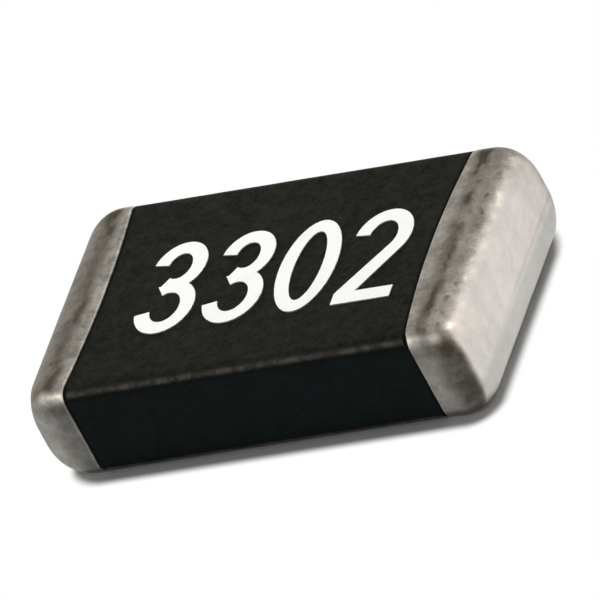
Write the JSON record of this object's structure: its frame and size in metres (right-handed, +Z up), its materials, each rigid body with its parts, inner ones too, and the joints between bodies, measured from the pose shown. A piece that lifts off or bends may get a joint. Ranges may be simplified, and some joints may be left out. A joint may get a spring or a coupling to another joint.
{
  "type": "smd chip resistor",
  "caption": "Flat black-coated chip resistor with a dipped, plated metal terminal on each end, soldered by its undersides to limit current on a circuit board.",
  "frame": {"origin": "centre of the chip, the point that placement data give for such a part", "axes": "+X along the chip from the left to the right terminal, +Y across it to the far long side, +Z up out of the marked top"},
  "size_m": [0.0016, 0.001, 0.0004],
  "materials": {
    "alumina": "fired white alumina, matte",
    "resistive_film": "fired dark grey film",
    "glass_coat": "fired greenish glass",
    "black_coat": "satin black resin with a fine grain",
    "silver_print": "fired printed silver, satin",
    "silver_paste": "fired dipped silver, matte",
    "nickel": "plated nickel, satin",
    "tin": "plated tin, satin, lightly tarnished",
    "marking_ink": "white marking ink"
  },
  "bodies": {
    "root": {"ceramic_substrate": "alumina", "resistive_film": "resistive_film", "glass_coat": "glass_coat", "black_coat": "black_coat", "left_top_electrode": "silver_print", "right_top_electrode": "silver_print", "left_bottom_electrode": "silver_print", "right_bottom_electrode": "silver_print", "left_end_electrode": "silver_paste", "right_end_electrode": "silver_paste", "left_nickel_barrier": "nickel", "right_nickel_barrier": "nickel", "left_tin_cap": "tin", "right_tin_cap": "tin"}
  },
  "joints": []
}
